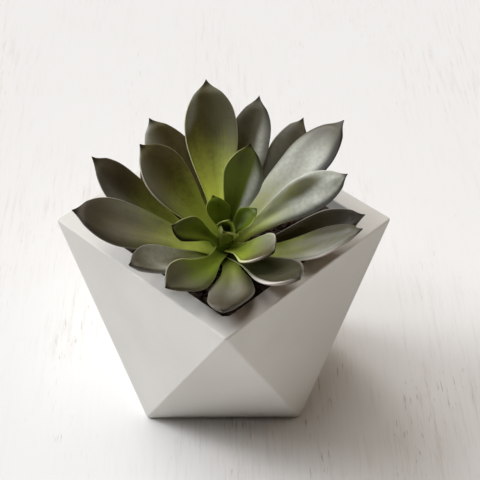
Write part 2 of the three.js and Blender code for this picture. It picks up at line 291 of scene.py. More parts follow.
# Floor: noises in cells a metre, the smooth steps that turn them into marks, and where flecks thin out
FLOOR_REACH = 9.0
GRAIN_NOISE = dict(stretch=(420.0, 26.0, 1.0), detail=4.0, roughness=0.7)
GRAIN_MARKS = dict(low=0.45, high=0.80)
WEAR_NOISE = dict(stretch=(14.0, 6.0, 1.0), detail=3.0)
WEAR_MARKS = dict(low=0.40, high=0.70, to_low=0.1, to_high=0.8)
FLECK_NOISE = dict(stretch=(900.0, 90.0, 1.0))
FLECK_MARKS = dict(low=0.62, high=0.72)
PATCH_NOISE = dict(stretch=(30.0, 14.0, 1.0))
PATCH_MARKS = dict(low=0.48, high=0.66, to_high=0.55)
FLECK_NEARNESS = dict(low=0.15, high=-0.10, to_low=0.3)

# Pot, soil and stem: noises in cells a metre, their marks and the bumps they make
CLOUD_NOISE = dict(scale=22.0, detail=3.0)
CLOUD_MARKS = dict(low=0.35, high=0.65)
BODY_NOISE = dict(scale=900.0, detail=3.0, roughness=0.6)
BODY_MARKS = dict(low=0.62, high=0.78, to_high=0.16)
BODY_BUMP = dict(strength=0.25, distance=0.0002)
DRY_NOISE = dict(scale=260.0, detail=4.0, roughness=0.7)
DRY_MARKS = dict(low=0.42, high=0.72)
SOIL_NOISE = dict(scale=1600.0, detail=3.0)
SOIL_BUMP = dict(strength=0.6, distance=0.0004)
BARK_NOISE = dict(scale=700.0, detail=4.0, roughness=0.65)
BARK_MARKS = dict(low=0.35, high=0.7)
BARK_BUMP = dict(strength=0.4, distance=0.0003)

# Leaf skin: clouds and streaks in cells a blade, mottle and blotches in cells a metre
BLADE_CLOUDS = dict(stretch=(0.8, 1.5, 0.2), scale=1.3, detail=1.5)
BLADE_STREAKS = dict(stretch=(10.0, 0.9, 0.5), scale=1.5, detail=3.0)
MOTTLE = dict(scale=520.0, detail=4.0, roughness=0.6)
BLOTCHES = dict(scale=240.0, detail=4.0, roughness=0.65)
LEAF_BUMP = dict(strength=0.3, distance=0.0004)
GLOW_RADIUS = (1.0, 1.0, 0.5)
GLOW_DEPTH = 0.003

# Leaf skin, flesh: how far clouds move its bounds, the green's fade round flush, dark marks and dusk
DRIFT = 0.3
GREEN_BEFORE = 0.40
GREEN_BEYOND = 0.25
STREAK_MARKS = dict(low=0.35, high=0.75, to_high=0.15)
BLOTCH_MARKS = dict(low=0.40, high=0.70, to_high=0.20)
MOTTLE_MARKS = dict(low=0.42, high=0.62, to_high=0.14)
MARKS_ON_GREEN = dict(low=0.0, high=1.0, to_low=1.0, to_high=0.3)
POINT = dict(low=0.56, high=0.98)
POINT_SPREAD = 0.06
DEEPEST = 0.9
BENEATH = dict(low=0.0, high=-0.35, to_high=0.85)
GREEN_SHARE = 0.6

# Leaf skin, wax and painted sheen: where they lie, the patch's width and edge, and the marks that break
# them up
ABOVE = dict(low=-0.3, high=0.1)
PATCH_NARROWNESS = 2.2
PATCH_EDGE = dict(low=1.2, high=0.45)
CLOUDED = dict(low=0.7, high=0.3, to_low=0.75)
BARE_GREEN = 0.9
BARE_POINT = dict(low=0.0, high=0.7, to_low=1.0, to_high=0.0)
BLOTCHED = dict(low=0.36, high=0.60, to_low=0.84)
MOTTLED = dict(low=0.40, high=0.60, to_low=0.88, to_high=1.05)
WAX_ROUGHNESS = dict(low=0.0, high=0.8, to_low=0.36, to_high=0.46)

# Leaf skin, margins: the pale band, partly a painted highlight, and the painted shade inside it, the dark
# margin, partly painted shade, and the tip
FULL_BAND = 0.35
RIM_SIDES = dict(low=-0.5, high=0.5, to_low=0.35)
RIM_FADE = dict(low=0.80, high=1.0, to_low=1.0, to_high=0.2)
RIM_BELOW = dict(low=-0.75, high=-0.45)
EDGE_SHADE_WIDTH = 0.12
EDGE_SHADE_DEPTH = 0.35
SHADE_SIDE = dict(low=0.55, high=0.88)
SHADE_START = dict(low=0.15, high=0.6)
DARK_TIP = dict(low=0.94, high=0.985, to_high=0.9)

# Seeds: how far apart the noises of neighbouring leaves lie
LEAF_SEED = 5.3
HEART_SEED = 3.7

# Hash behind the noise of shapes: factors for whole coordinates and a seed, shifts, and bits kept
CELL_FACTORS = np.array([73856093, 19349663, 83492791])
SEED_FACTOR = 2654435761
MIX_FACTOR = 1274126177
FIRST_SHIFT = 13
LAST_SHIFT = 16
MIXED_BITS = 0xFFFFFFFF
DRAWN_BITS = 0xFFFF


def smooth(value, start=0, end=1):
    """0 up to the start, 1 from the end, and three squares less two cubes of the share between."""
    share = np.clip((value - start) / (end - start), 0, 1)
    return share * share * (3 - 2 * share)


def value_noise(points, seed):
    """Smooth noise from -1 to 1: each corner of a unit cell draws a value from a hash of its coordinates
    and the seed, and the eight values blend by the smooth step of the point's place in the cell."""
    cell = np.floor(points).astype(np.int64)
    share = smooth(points - cell)
    total = np.zeros(points.shape[:-1])
    for corner in product((0, 1), repeat=3):
        spot = cell + np.array(corner)
        mixed = (spot * CELL_FACTORS).sum(-1) + seed * SEED_FACTOR
        mixed = (mixed ^ (mixed >> FIRST_SHIFT)) * MIX_FACTOR & MIXED_BITS
        drawn = ((mixed ^ (mixed >> LAST_SHIFT)) & DRAWN_BITS) / (DRAWN_BITS // 2) - 1
        weight = np.where(np.array(corner) == 1, share, 1 - share).prod(-1)
        total += weight * drawn
    return total


def layered_noise(points, seed, layers=3):
    """A sum of value noises, each at twice the frequency and half the strength of the one before."""
    return sum(value_noise(points * 2**k, seed + k) / 2**k for k in range(layers))


def polar(reach, angle, height):
    """Points at this distance from the Z axis, by angle and height."""
    return np.stack(np.broadcast_arrays(reach * np.cos(angle), reach * np.sin(angle), height), -1)


def closed_rings(rings, start, end):
    """Corners and faces of a closed surface through rings of points, with a pole at each end. Quads join
    each ring to the next and triangles fan to the poles. The faces are turned over if the volume, the sum
    of the corners' triple products, comes out negative."""
    count, around = rings.shape[:2]
    corners = np.concatenate([rings.reshape(-1, 3), [start, end]])
    here = np.arange(around)
    beside = (here + 1) % around
    row = np.arange(count - 1)[:, None] * around
    quads = np.stack([row + here, row + beside, row + around + beside, row + around + here], -1)
    quads = quads.reshape(-1, 4)
    last = (count - 1) * around
    fans = np.concatenate([
        np.stack([np.full(around, count * around), beside, here], -1),
        np.stack([np.full(around, count * around + 1), last + here, last + beside], -1),
    ])
    triangles = np.concatenate([quads[:, :3], quads[:, [0, 2, 3]], fans])
    a, b, c = (corners[triangles[:, k]] for k in range(3))
    if np.einsum("ij,ij->", a, np.cross(b, c)) < 0:
        quads, fans = quads[:, ::-1], fans[:, ::-1]
    return corners, quads, fans


def mesh_object(name, corners, faces, material, flat=False):
    """A new object at the origin with these corners and faces, smooth unless flat is asked."""
    mesh = bpy.data.meshes.new(name)
    mesh.from_pydata(corners.tolist(), [], [face for group in faces for face in group.tolist()])
    mesh.polygons.foreach_set("use_smooth", np.full(len(mesh.polygons), not flat))
    mesh.materials.append(material)
    made = bpy.data.objects.new(name, mesh)
    bpy.context.scene.collection.objects.link(made)
    return made


def settle(piece, slot, *nodes):
    """The piece rides on the part's one body and stands for the nodes named; the slot is not used."""
    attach(piece, "root")
    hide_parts(*nodes)


class Value:
    """What a node puts out. The signs of arithmetic on it add Math nodes to its tree."""

    def __init__(self, nodes, socket):
        self.nodes = nodes
        self.socket = socket

    def __add__(self, other):
        return self.nodes.math("ADD", self, other)

    def __sub__(self, other):
        return self.nodes.math("SUBTRACT", self, other)

    def __rsub__(self, other):
        return self.nodes.math("SUBTRACT", other, self)

    def __mul__(self, other):
        return self.nodes.math("MULTIPLY", self, other)

    def __truediv__(self, other):
        return self.nodes.math("DIVIDE", self, other)

    def __pow__(self, other):
        return self.nodes.math("POWER", self, other)

    def __abs__(self):
        return self.nodes.math("ABSOLUTE", self)


class Nodes:
    """Adds nodes to one tree and joins them. What goes into an input is a number, a colour or a Value."""

    def __init__(self, tree):
        self.tree = tree

    def feed(self, entry, value):
        """Links a Value to an input, or sets the input to a number or colour."""
        if isinstance(value, Value):
            self.tree.links.new(value.socket, entry)
        else:
            entry.default_value = value

    def add(self, kind, feeds=(), **settings):
        """A node of this kind with these settings; feeds pairs its inputs with what goes into them."""
        node = self.tree.nodes.new(kind)
        for key, value in settings.items():
            setattr(node, key, value)
        for key, value in feeds:
            self.feed(node.inputs[key], value)
        return node

    def out(self, kind, feeds=(), output=0, **settings):
        """What one output of a new node puts out."""
        return Value(self, self.add(kind, feeds, **settings).outputs[output])

    def math(self, operation, first, second=0.0):
        return self.out("ShaderNodeMath", [(0, first), (1, second)], operation=operation)

    def step(self, value, low, high, to_low=0.0, to_high=1.0):
        """A smooth step from to_low to to_high as the value goes from low to high."""
        labels = ("Value", "From Min", "From Max", "To Min", "To Max")
        feeds = zip(labels, (value, low, high, to_low, to_high))
        return self.out("ShaderNodeMapRange", feeds, interpolation_type="SMOOTHSTEP")

    def blend(self, share, first, second):
        """The first colour where the share is 0 and the second where it is 1."""
        return self.out("ShaderNodeMix", [(0, share), (6, first), (7, second)], output=2, data_type="RGBA")

    def combine(self, operation, first, second):
        """A sum or product of two vectors, coordinate by coordinate."""
        return self.out("ShaderNodeVectorMath", [(0, first), (1, second)], operation=operation)

    def noise(self, place, scale=1.0, detail=2.0, roughness=0.5, stretch=(1.0, 1.0, 1.0)):
        """Noise from 0 to 1 at a place, whose coordinates are first multiplied by the stretch."""
        spot = self.combine("MULTIPLY", place, stretch)
        feeds = [("Vector", spot), ("Scale", scale), ("Detail", detail), ("Roughness", roughness)]
        return self.out("ShaderNodeTexNoise", feeds)

    def place(self):
        """The point's place on the object, in metres."""
        return self.out("ShaderNodeTexCoord", output="Object")

    def coordinates(self, vector):
        """The three coordinates of a vector."""
        return [Value(self, part) for part in self.add("ShaderNodeSeparateXYZ", [(0, vector)]).outputs]

    def bump(self, height, strength, distance):
        """The normal of a surface roughened by this height."""
        feeds = [("Height", height), ("Strength", strength), ("Distance", distance)]
        return self.out("ShaderNodeBump", feeds)


def new_group(name, inputs, outputs):
    """A shader node group with these inputs and outputs, given as pairs of a name and a socket type."""
    tree = bpy.data.node_groups.new(name, "ShaderNodeTree")
    for label, kind in inputs:
        tree.interface.new_socket(label, in_out="INPUT", socket_type=kind)
    for label, kind in outputs:
        tree.interface.new_socket(label, in_out="OUTPUT", socket_type=kind)
    nodes = Nodes(tree)
    sockets = nodes.add("NodeGroupInput").outputs
    given = {label: Value(nodes, sockets[label]) for label, kind in inputs}
    return tree, nodes, given, nodes.add("NodeGroupOutput").inputs


def new_material(name, **shader_values):
    """A material with one Principled shader, whose named sockets take these constant values."""
    material = bpy.data.materials.new(name)
    material.use_nodes = True
    nodes = Nodes(material.node_tree)
    shader = material.node_tree.nodes["Principled BSDF"]
    for label, value in shader_values.items():
        shader.inputs[label.replace("_", " ")].default_value = value
    return material, nodes, shader.inputs


def colour(name, description, default):
    """A colour that a user can change."""
    return FloatVectorProperty(
        name=name, description=description, subtype="COLOR", size=4, min=0, max=1, default=(*default, 1)
    )


def length(name, description, default):
    """A length that a user can change, in metres."""
    return FloatProperty(name=name, description=description, default=default, min=0, unit="LENGTH")


class PotSettings(bpy.types.PropertyGroup):
    """Sizes and colours of the pot."""

    rim_side: length("Rim side", "Side of the square rim", RIM_SIDE)
    foot_side: length("Foot side", "Side of the square foot", FOOT_SIDE)
    height: length("Height", "Height of the pot", POT_HEIGHT)
    wall: length("Wall", "Thickness of the wall at the rim", WALL)
    edge: length("Edge rounding", "Width of the rounding along every edge", EDGE_ROUNDING)
    body: colour("Body", "Colour of the pot", (0.785, 0.765, 0.715))
    clouds: colour("Clouds", "Colour of the paler clouds in the body", (0.83, 0.81, 0.76))
    specks: colour("Specks", "Colour of the specks in the body", (0.56, 0.53, 0.49))


class SoilSettings(bpy.types.PropertyGroup):
    """Sizes and colours of the soil."""

    drop: length("Drop", "How far the soil lies below the rim", SOIL_DROP)
    lump: length("Lump", "Height of the lumps in the soil", 0.0011)
    crumbs: IntProperty(name="Crumbs", description="Number of loose crumbs", default=2600, min=0)
    crumb_size: length("Crumb size", "Width of a middling crumb", 0.0017)
    dark: colour("Dark", "Colour of the wet soil", (0.024, 0.012, 0.0065))
    light: colour("Light", "Colour of the drier crumbs", (0.115, 0.062, 0.036))


class RosetteSettings(bpy.types.PropertyGroup):
    """Colours of the leaves and the stem."""

    # The yellow green at the leaves' roots, brightened to paint the glow of light that comes through them.
    lime_and_glow: colour("Lime_and_glow", "Yellow green near the roots of the leaves", (0.820, 0.940, 0.150))
    green: colour("Green", "Deep green of the youngest leaves", (0.110, 0.180, 0.003))
    olive: colour("Olive", "Colour of the grown leaf", (0.110, 0.100, 0.016))
    brown: colour("Brown", "Brown tint of the older leaves", (0.090, 0.068, 0.024))
    dusk: colour("Dusk", "Purple grey towards the point", (0.075, 0.062, 0.056))
    under: colour("Underside", "Colour of the underside", (0.140, 0.100, 0.070))
    # This colour of the waxy coat also paints sheen: highlights on the side of a leaf towards the light
    # and in some patches.
    bloom: colour("Bloom", "Colour of the waxy bloom", (0.680, 0.700, 0.620))
    # The margin colour is the leaves' own pale edge, and partly a painted highlight along the edge towards
    # the light.
    rim: colour("Margin", "Colour of the leaf margin", (0.610, 0.560, 0.500))
    dark: colour("Dark", "Darkest tone of a blade", (0.012, 0.011, 0.004))
    bark: colour("Stem", "Colour of the woody stem", (0.120, 0.080, 0.045))
    flakes: colour("Flakes", "Colour of the paler flakes on the stem", (0.190, 0.140, 0.085))


class StageSettings(bpy.types.PropertyGroup):
    """Floor and lights."""

    floor: colour("Floor", "Colour of the floor", (0.86, 0.855, 0.84))
    grain: colour("Grain", "Colour of the grain that shows through the floor's paint", (0.70, 0.65, 0.60))
    wood: colour("Wood", "Colour of the bare wood where the paint is gone", (0.26, 0.17, 0.11))
    strength: FloatProperty(name="Lights", description="Strength of all the lights", default=1.0, min=0)


class ECHEVERIA_OT_stage(bpy.types.Operator):
    """Adds the floor, the lights and the camera at the photograph's view"""

    bl_idname = "echeveria.stage"
    bl_label = "Stage"

    def execute(self, context):
        settings = context.scene.echeveria_stage
        self.add_floor(settings)
        self.add_lights(context.scene, settings)
        self.add_camera(context.scene)
        return {"FINISHED"}

    def add_floor(self, settings):
        """A painted board: grain that comes and goes, and flecks of bare wood, fewer towards the back."""
        material, nodes, shader = new_material("floor_paint", Roughness=0.9)
        place = nodes.place()
        lines = nodes.step(nodes.noise(place, **GRAIN_NOISE), **GRAIN_MARKS)
        worn = nodes.step(nodes.noise(place, **WEAR_NOISE), **WEAR_MARKS)
        tone = nodes.blend(lines * worn, settings.floor, settings.grain)
        flecks = nodes.step(nodes.noise(place, **FLECK_NOISE), **FLECK_MARKS)
        patches = nodes.step(nodes.noise(place, **PATCH_NOISE), **PATCH_MARKS)
        near = nodes.step(nodes.coordinates(place)[1], **FLECK_NEARNESS)
        tone = nodes.blend(flecks * patches * near, tone, settings.wood)
        nodes.feed(shader["Base Color"], tone)
        corners = FLOOR_REACH * np.array([[-1, -1, 0], [1, -1, 0], [1, 1, 0], [-1, 1, 0]])
        floor = mesh_object("floor", corners, [np.array([[0, 1, 2, 3]])], material, flat=True)

    def add_lights(self, scene, settings):
        """Wide soft suns and a faint even sky."""
        for name, turn, rise, energy, width, tint in LIGHTS:
            sun = bpy.data.lights.new(name, "SUN")
            sun.energy = energy * settings.strength
            sun.angle = np.radians(width)
            sun.color = tint
            holder = bpy.data.objects.new(name, sun)
            holder.rotation_euler = (0, np.radians(90 - rise), np.radians(turn))
            scene.collection.objects.link(holder)
        world = bpy.data.worlds.new("studio")
        world.use_nodes = True
        sky = world.node_tree.nodes["Background"].inputs
        sky["Color"].default_value = (*SKY_TINT, 1)
        sky["Strength"].default_value = SKY * settings.strength
        scene.world = world
        scene.view_settings.view_transform = "Standard"

    def add_camera(self, scene):
        """The photograph's view, a little rolled."""
        lens = bpy.data.cameras.new("camera")
        lens.sensor_width = SENSOR_MILLIMETRES
        lens.lens = FOCAL_PIXELS * SENSOR_MILLIMETRES / FRAME_PIXELS
        holder = bpy.data.objects.new("camera", lens)
        holder.location = CAMERA_PLACE
        aim = (CAMERA_TARGET - CAMERA_PLACE).to_track_quat("-Z", "Y").to_matrix()
        holder.rotation_euler = (aim @ Matrix.Rotation(CAMERA_ROLL, 3, "Z")).to_euler()
        scene.collection.objects.link(holder)
        scene.camera = holder


def corner_ring(side, height, first_corner):
    """The four corners of a square of this side at this height, the first of them at this angle."""
    return polar(side / np.sqrt(2), first_corner + np.arange(4) * np.pi / 2, height)


def pot_shell(settings):
    """Corners and faces of the pot. Outside, each rim edge and a foot corner make a triangle, and so do
    each foot edge and a rim corner. The inside does the same, but it is cut off level with the rim a
    little below its own square top, so each of its corners there is two points on the edges to its foot
    corners."""
    outer_rim = corner_ring(settings.rim_side, settings.height, 0)
    outer_foot = corner_ring(settings.foot_side, 0, np.pi / 4)
    inner_top = corner_ring(settings.rim_side - 2 * settings.wall, settings.height + CAVITY_RISE, 0)
    inner_foot = corner_ring(INNER_FOOT_SIDE, BASE_THICKNESS, np.pi / 4)
    share = CAVITY_RISE / (settings.height + CAVITY_RISE - BASE_THICKNESS)
    before_corner = inner_top + share * (np.roll(inner_foot, 1, 0) - inner_top)
    past_corner = inner_top + share * (inner_foot - inner_top)
    corners = np.concatenate([outer_rim, outer_foot, before_corner, past_corner, inner_foot])
    rim, foot, before, past, inside = np.arange(len(corners)).reshape(-1, 4)
    triangles = np.concatenate([
        np.stack([rim, foot, np.roll(rim, -1)], -1),
        np.stack([rim, np.roll(foot, 1), foot], -1),
        np.stack([rim, past, before], -1),
        np.stack([past, np.roll(before, -1), inside], -1),
    ])
    quads = np.concatenate([
        np.stack([rim, np.roll(rim, -1), np.roll(before, -1), past], -1),
        np.stack([before, past, inside, np.roll(inside, 1)], -1),
        foot[None, ::-1],
        inside[None],
    ])
    return corners, [triangles, quads]


class ECHEVERIA_OT_pot(bpy.types.Operator):
    """Builds the faceted pot with rounded edges and a fine grain"""

    bl_idname = "echeveria.pot"
    bl_label = "Pot"

    def execute(self, context):
        settings = context.scene.echeveria_pot
        corners, faces = pot_shell(settings)
        pot = mesh_object("pot_shell", corners, faces, self.finish(settings))
        rounding = pot.modifiers.new("rounding", "BEVEL")
        rounding.width = settings.edge
        rounding.segments = EDGE_SEGMENTS
        rounding.limit_method = "ANGLE"
        rounding.angle_limit = EDGE_ANGLE
        rounding.harden_normals = True
        settle(pot, "pot", "pot")
        return {"FINISHED"}

    def finish(self, settings):
        """Matte body: faint clouds of tone, with a fine grain that makes specks and roughness."""
        material, nodes, shader = new_material("pot_body", Roughness=0.72)
        place = nodes.place()
        clouds = nodes.step(nodes.noise(place, **CLOUD_NOISE), **CLOUD_MARKS)
        grain = nodes.noise(place, **BODY_NOISE)
        tone = nodes.blend(clouds, settings.body, settings.clouds)
        tone = nodes.blend(nodes.step(grain, **BODY_MARKS), tone, settings.specks)
        nodes.feed(shader["Base Color"], tone)
        nodes.feed(shader["Normal"], nodes.bump(grain, **BODY_BUMP))
        return material


def wall_reach(pot, angle, height):
    """How far the soil reaches from the pot's axis, by angle and height: nearly to the nearest of the
    wall's eight planes, four through a top edge and a foot corner and four the other way round."""
    top = corner_ring(pot.rim_side - 2 * pot.wall, pot.height + CAVITY_RISE, 0)
    foot = corner_ring(INNER_FOOT_SIDE, BASE_THICKNESS, np.pi / 4)
    planes = [(top[i], top[(i + 1) % 4], foot[i]) for i in range(4)]
    planes += [(foot[i - 1], foot[i], top[i]) for i in range(4)]
    nearest = np.full(np.broadcast(angle, height).shape, np.inf)
    for a, b, c in planes:
        normal = np.cross(b - a, c - a)
        normal *= np.sign(normal @ a) / np.linalg.norm(normal)
        along = normal[0] * np.cos(angle) + normal[1] * np.sin(angle)
        room = normal @ a - SOIL_GAP - normal[2] * height
        nearest = np.fmin(nearest, np.where(along > 0, room / np.where(along > 0, along, 1), np.inf))
    return nearest


def soil_height(spots, pot, soil):
    """Height of the soil at spots on the plane Z = 0: level, with lumps and a hollow round the stem."""
    away = ((spots - SEAT)[..., :2] ** 2).sum(-1)
    hollow = SOIL_HOLLOW * np.exp(-away / SOIL_HOLLOW_SPREAD**2)
    lumps = 0
    for width, share, seed, layers in SOIL_LUMPS:
        lumps = lumps + share * layered_noise(spots / width, seed, layers)
    return pot.height - soil.drop - hollow + soil.lump * lumps


def soil_bed(pot, soil):
    """The filling as closed rings: out over the top to the wall, down the wall and back in over the
    floor. The outermost ring of the top has no lumps above the level."""
    angle = np.linspace(0, 2 * np.pi, SOIL_AROUND, endpoint=False)
    level = pot.height - soil.drop
    share = np.linspace(FIRST_TOP_RING, 1, TOP_RINGS)[:, None]
    top = polar(share * wall_reach(pot, angle, level), angle, 0.0)
    top[..., 2] = soil_height(top, pot, soil)
    top[-1, :, 2] = np.minimum(top[-1, :, 2], level)
    bottom = BASE_THICKNESS + SOIL_GAP
    depth = np.linspace(FIRST_WALL_RING, 1, WALL_RINGS)[:, None]
    down = top[-1:, :, 2] * (1 - depth) + bottom * depth
    wall = polar(wall_reach(pot, angle, down), angle, down)
    inward = np.array(BASE_RINGS)[:, None]
    base = polar(inward * wall_reach(pot, angle, bottom), angle, bottom)
    start = np.array([0, 0, top[0, :, 2].mean()])
    return closed_rings(np.concatenate([top, wall, base]), start, np.array([0, 0, bottom]))


def crumb_ball():
    """Corners and faces of a ball of few rings, one metre in radius."""
    rise = CRUMB_RISES[:, None]
    rings = polar(np.cos(rise), np.arange(CRUMB_SIDES) * 2 * np.pi / CRUMB_SIDES, np.sin(rise))
    return closed_rings(rings, np.array([0, 0, -1.0]), np.array([0, 0, 1.0]))


def crumb_shapes(pot, soil, generator):
    """Loose crumbs: balls with every corner pushed in or out by a random share, each stretched, turned
    and sunk nearly by half into the soil at a random place inside the wall."""
    count = soil.crumbs
    ball, quads, fans = crumb_ball()
    variety = generator.lognormal(0, CRUMB_VARIETY, (count, 1, 1)).clip(*CRUMB_SIZES)
    size = 0.5 * soil.crumb_size * variety
    stretch = generator.uniform(*CRUMB_STRETCH, (count, 1, 3)) * CRUMB_FLATNESS
    dents = generator.uniform(*CRUMB_DENTS, (count, len(ball), 1))
    turn = generator.uniform(0, 2 * np.pi, (count, 1))
    shape = ball * dents * stretch * size
    turned = np.stack([
        shape[..., 0] * np.cos(turn) - shape[..., 1] * np.sin(turn),
        shape[..., 0] * np.sin(turn) + shape[..., 1] * np.cos(turn),
        shape[..., 2],
    ], -1)
    bearing = generator.uniform(0, 2 * np.pi, count)
    radius = size[:, 0, 0]
    reach = wall_reach(pot, bearing, pot.height - soil.drop) - CRUMB_WALL_GAP * radius
    distance = reach * np.sqrt(generator.uniform(0, 1, count))
    seat = polar(distance, bearing, 0.0)
    seat[:, 2] = soil_height(seat, pot, soil) + CRUMB_LIFT * radius
    corners = (turned + seat[:, None]).reshape(-1, 3)
    shift = (np.arange(count) * len(ball))[:, None, None]
    return corners, (quads + shift).reshape(-1, 4), (fans + shift).reshape(-1, 3)


class ECHEVERIA_OT_soil(bpy.types.Operator):
    """Builds the soil with its lumps and loose crumbs"""

    bl_idname = "echeveria.soil"
    bl_label = "Soil"

    def execute(self, context):
        pot, soil = context.scene.echeveria_pot, context.scene.echeveria_soil
        material = self.finish(soil)
        corners, quads, fans = soil_bed(pot, soil)
        bed = mesh_object("soil_bed", corners, [quads, fans], material)
        settle(bed, "soil", "soil")
        corners, quads, fans = crumb_shapes(pot, soil, np.random.default_rng(CRUMB_SEED))
        crumbs = mesh_object("soil_crumbs", corners, [quads, fans], material, flat=True)
        settle(crumbs, "soil", "soil")
        return {"FINISHED"}

    def finish(self, settings):
        """Dark crumbs, some drier and lighter, with a rough grain."""
        material, nodes, shader = new_material("soil_mix", Roughness=0.95)
        place = nodes.place()
        dry = nodes.step(nodes.noise(place, **DRY_NOISE), **DRY_MARKS)
        nodes.feed(shader["Base Color"], nodes.blend(dry, settings.dark, settings.light))
        nodes.feed(shader["Normal"], nodes.bump(nodes.noise(place, **SOIL_NOISE), **SOIL_BUMP))
        return material


def half_width(form, along):
    """Half the blade's width by the share of its length: a narrow root that widens by a smooth step, then
    a falling power to the tip, pinched near the end."""
    widening = smooth(along, ROOT_END, WIDEST)
    lower = ROOT_WIDTH_SHARE + (1 - ROOT_WIDTH_SHARE) * widening
    to_tip = np.clip((along - WIDEST) / (1 - WIDEST), 0, 1)
    pinch = POINT_PINCH * smooth(to_tip, POINT_START)
    upper = (1 - to_tip**TIP_FULLNESS) * (1 - pinch)
    return 0.5 * form.width * np.where(along < WIDEST, lower, upper)


def keel_depth(form, along):
    """How far the keel stands below the margins: thinner at the root and the tip, and rounded off."""
    thickness = THICKNESS_BASE + THICKNESS_SHARE * form.length
    rooted = ROOT_THICKNESS_SHARE + (1 - ROOT_THICKNESS_SHARE) * smooth(along, 0, THICKENING_END)
    rounded = np.sqrt(np.clip((1 - along) / TIP_ROUNDING, 0, 1))
    return thickness * rooted * (1 - TIP_THINNING * along) * rounded


def blade_frames(form, along, reach, sink):
    """Centres and the across and up directions along the midrib: an arc that rises from the stem, bends
    up by the curl and swings sideways, while across and up turn about it by the roll."""
    facing = np.radians(FIRST_LEAF_TURN + DIVERGENCE * form.age + form.turn)
    rise = np.radians(OLD_LIFT + YOUNG_LIFT * np.exp(-form.age / LIFT_FADE) + form.lift)
    bend = np.radians(form.curl)
    root = max(TOP_ROOT - ROOT_STEP * form.age - sink, LOWEST_ROOT)
    slope = (rise + bend * along)[:, None]
    run = form.length / bend
    outward = np.array([np.cos(facing), np.sin(facing), 0])
    sideways = np.array([-np.sin(facing), np.cos(facing), 0])
    upright = np.array([0, 0, 1])
    swing = form.length * np.sin(np.radians(form.sway)) * along[:, None] ** 2
    distance = reach + run * (np.sin(slope) - np.sin(rise))
    height = root + run * (np.cos(rise) - np.cos(slope))
    centre = distance * outward + swing * sideways + height * upright
    raised = np.cos(slope) * upright - np.sin(slope) * outward
    roll = (np.radians(form.roll) * smooth(ROLL_SPEED * along))[:, None]
    across = np.cos(roll) * sideways + np.sin(roll) * raised
    up = np.cos(roll) * raised - np.sin(roll) * sideways
    return centre, across, up


def on_seat(points):
    """Points of the rosette leaned back about the X axis and set on its seat in the pot."""
    tilt = np.array([
        [1, 0, 0],
        [0, np.cos(LEAN), -np.sin(LEAN)],
        [0, np.sin(LEAN), np.cos(LEAN)],
    ])
    return points @ tilt.T + SEAT


def leaf_blade(form, reach=ROOT_REACH, sink=0.0):
    """A closed blade and each corner's place on it: side from -1 to 1 across, along from root to tip, and
    face from -1 under the keel to 1 in the channel. The section is a cupped arc with rounded shoulders
    above, a soft channel along its middle and a deep keel below, and slow waves of noise move it."""
    along = 1 - (1 - np.linspace(0, 1, LEAF_RINGS, endpoint=False)) ** RING_CROWDING
    theta = 2 * np.pi * (np.arange(LEAF_SECTION) + 0.5) / LEAF_SECTION
    angle = theta - MARGIN_CROWDING * np.sin(2 * theta)
    side, face = np.cos(angle), np.sin(angle)
    t = along[:, None]
    grid = np.stack(np.broadcast_arrays(side, t, 0 * side), -1)
    seed = BLADE_SEED + form.age
    edge, waves, dents = (
        value_noise(grid * np.array(cells), seed + SEED_STEP * i) for i, cells in enumerate(BLADE_CELLS)
    )
    half = half_width(form, t) * (1 + EDGE_WAVE * edge * smooth(t, 0, EDGE_CALM))
    fullness = smooth(half, 0, FULL_SHARE * form.width)
    risen = smooth(t, SHOULDER_START, SHOULDER_END)
    brim = SHOULDER * risen * form.width / USUAL_WIDTH
    groove = smooth((CHANNEL_END - t) / CHANNEL_FADE) * np.exp(-((side / CHANNEL_SPREAD) ** 2))
    above = MARGIN * face + brim * (1 - side**2) ** SHOULDER_ROUNDING - (brim + CHANNEL) * groove
    body = np.where(face > 0, above * fullness, keel_depth(form, t) * face)
    relief = (WAVE_HEIGHT * waves + DENT_HEIGHT * dents) * fullness * smooth((1 - t) / TIP_CALM)
    height = form.cup * half * side**2 + body + relief
    centre, across, up = blade_frames(form, along, reach, sink)
    rings = centre[:, None] + across[:, None] * (half * side)[..., None] + up[:, None] * height[..., None]
    ends = blade_frames(form, np.array([0.0, 1.0]), reach, sink)[0]
    corners, quads, fans = closed_rings(on_seat(rings), *on_seat(ends))
    spots = np.stack(np.broadcast_arrays(side, t, face), -1).reshape(-1, 3)
    return corners, quads, fans, np.concatenate([spots, [[0, 0, 0], [0, 1, 0]]])


def leaf_object(name, form, material, **root):
    """A leaf with its places on the blade kept in the attribute blade."""
    corners, quads, fans, blade = leaf_blade(form, **root)
    leaf = mesh_object(name, corners, [quads, fans], material)
    places = leaf.data.attributes.new("blade", "FLOAT_VECTOR", "POINT")
    places.data.foreach_set("vector", blade.astype(np.float32).ravel())
    return leaf


SKIN_AMOUNTS = ("Seed", *(field.capitalize() for field in Finish._fields[:-2]))


